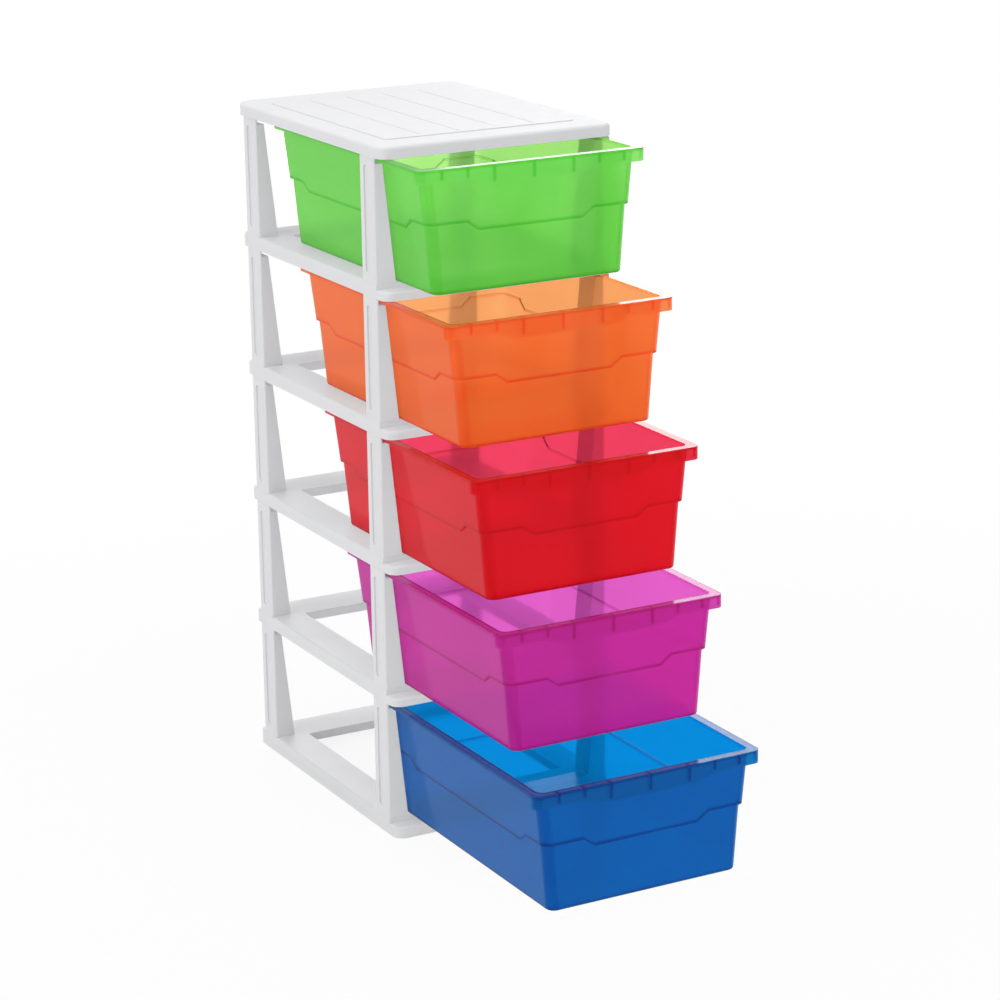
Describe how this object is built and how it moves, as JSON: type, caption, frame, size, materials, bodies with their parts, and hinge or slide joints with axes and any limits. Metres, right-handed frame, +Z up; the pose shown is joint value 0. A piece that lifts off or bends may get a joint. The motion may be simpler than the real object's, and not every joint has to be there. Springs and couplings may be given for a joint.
{
  "type": "drawer storage unit",
  "caption": "Tall free-standing drawer tower: a white moulded frame of posts and open shelf frames, with translucent coloured drawers that slide out towards the front.",
  "frame": {"origin": "on the floor, in the middle of the base frame's underside", "axes": "+Z up, front (drawer pulls) towards -Y, +X to the right seen from the front turned half round, that is to the right when looking along +Y"},
  "size_m": [0.299, 0.7155, 0.8188],
  "materials": {
    "frame_white": "satin white moulded plastic",
    "drawer_green": "translucent green moulded plastic",
    "drawer_orange": "translucent orange moulded plastic",
    "drawer_red": "translucent red moulded plastic",
    "drawer_magenta": "translucent magenta moulded plastic",
    "drawer_blue": "translucent blue moulded plastic"
  },
  "bodies": {
    "frame": {"top_panel": "frame_white", "shelf_frame_1": "frame_white", "shelf_frame_2": "frame_white", "shelf_frame_3": "frame_white", "shelf_frame_4": "frame_white", "base_frame": "frame_white", "post_front_left_1": "frame_white", "post_front_right_1": "frame_white", "post_rear_left_1": "frame_white", "post_rear_right_1": "frame_white", "post_front_left_2": "frame_white", "post_front_right_2": "frame_white", "post_rear_left_2": "frame_white", "post_rear_right_2": "frame_white", "post_front_left_3": "frame_white", "post_front_right_3": "frame_white", "post_rear_left_3": "frame_white", "post_rear_right_3": "frame_white", "post_front_left_4": "frame_white", "post_front_right_4": "frame_white", "post_rear_left_4": "frame_white", "post_rear_right_4": "frame_white", "post_front_left_5": "frame_white", "post_front_right_5": "frame_white", "post_rear_left_5": "frame_white", "post_rear_right_5": "frame_white"},
    "drawer_green": {"drawer_green": "drawer_green"},
    "drawer_orange": {"drawer_orange": "drawer_orange"},
    "drawer_red": {"drawer_red": "drawer_red"},
    "drawer_magenta": {"drawer_magenta": "drawer_magenta"},
    "drawer_blue": {"drawer_blue": "drawer_blue"}
  },
  "joints": [
    {"name": "slide_green", "type": "slide", "parent": "frame", "child": "drawer_green", "axis": [0, -1, 0], "range_m": [-0.08, 0.256]},
    {"name": "slide_orange", "type": "slide", "parent": "frame", "child": "drawer_orange", "axis": [0, -1, 0], "range_m": [-0.1415, 0.1945]},
    {"name": "slide_red", "type": "slide", "parent": "frame", "child": "drawer_red", "axis": [0, -1, 0], "range_m": [-0.1965, 0.1395]},
    {"name": "slide_magenta", "type": "slide", "parent": "frame", "child": "drawer_magenta", "axis": [0, -1, 0], "range_m": [-0.247, 0.089]},
    {"name": "slide_blue", "type": "slide", "parent": "frame", "child": "drawer_blue", "axis": [0, -1, 0], "range_m": [-0.325, 0.011]}
  ]
}
